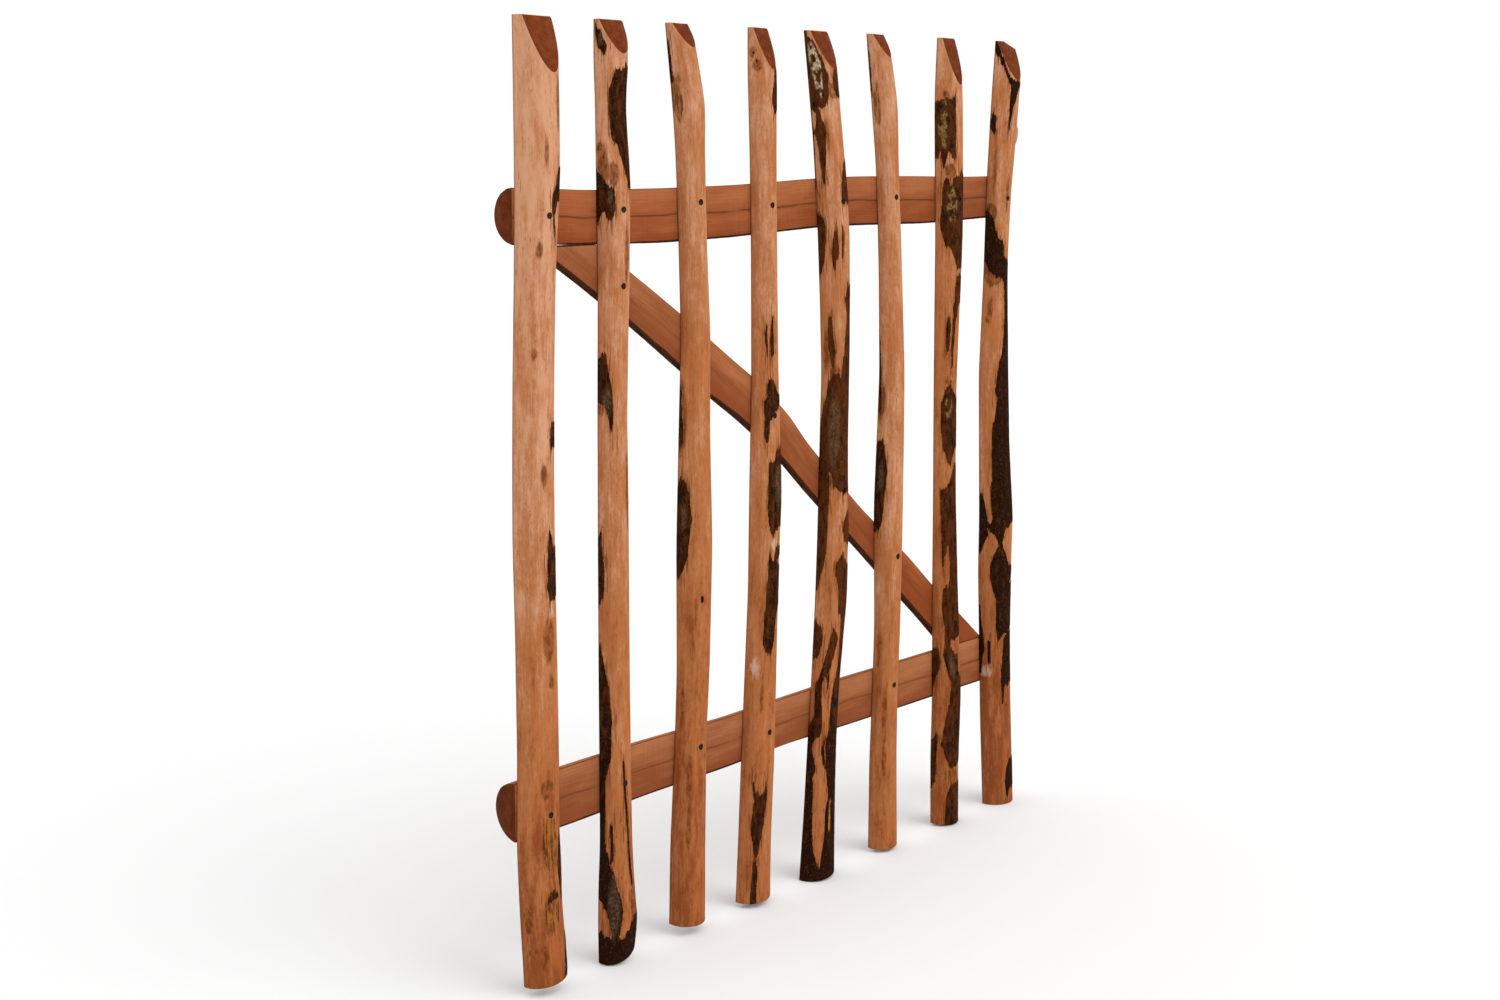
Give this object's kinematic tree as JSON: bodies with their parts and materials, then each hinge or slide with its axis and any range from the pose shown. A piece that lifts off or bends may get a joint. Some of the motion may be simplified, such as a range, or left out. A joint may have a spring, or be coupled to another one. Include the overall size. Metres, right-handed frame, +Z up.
{
  "type": "garden gate",
  "caption": "Rustic garden gate leaf of split half-round poles: upright pickets screwed across a top and bottom rail with a diagonal brace.",
  "frame": {"origin": "on the ground line, under the middle of the leaf, in the plane where the pickets' flat backs meet the flat faces of the rails and brace", "axes": "+X along the rails towards the hinge side, -Y towards the front where the pickets' round sides show, +Z up the pickets"},
  "size_m": [1.0236, 0.0719, 1.208],
  "materials": {
    "picket_wood": "peeled pole with patches of dark bark, matt",
    "rail_wood": "sawn face with a dark pith line, bark on the round side, matt",
    "brace_wood": "sawn face, bark on the round side, matt",
    "screw_steel": "blackened, sunk under the surface"
  },
  "bodies": {
    "root": {"bottom_rail": "rail_wood", "bottom_rail_screws": "screw_steel", "brace": "brace_wood", "brace_screws": "screw_steel", "picket_1": "picket_wood", "picket_2": "picket_wood", "picket_3": "picket_wood", "picket_4": "picket_wood", "picket_5": "picket_wood", "picket_6": "picket_wood", "picket_7": "picket_wood", "picket_8": "picket_wood", "top_rail": "rail_wood", "top_rail_screws": "screw_steel"}
  },
  "joints": []
}
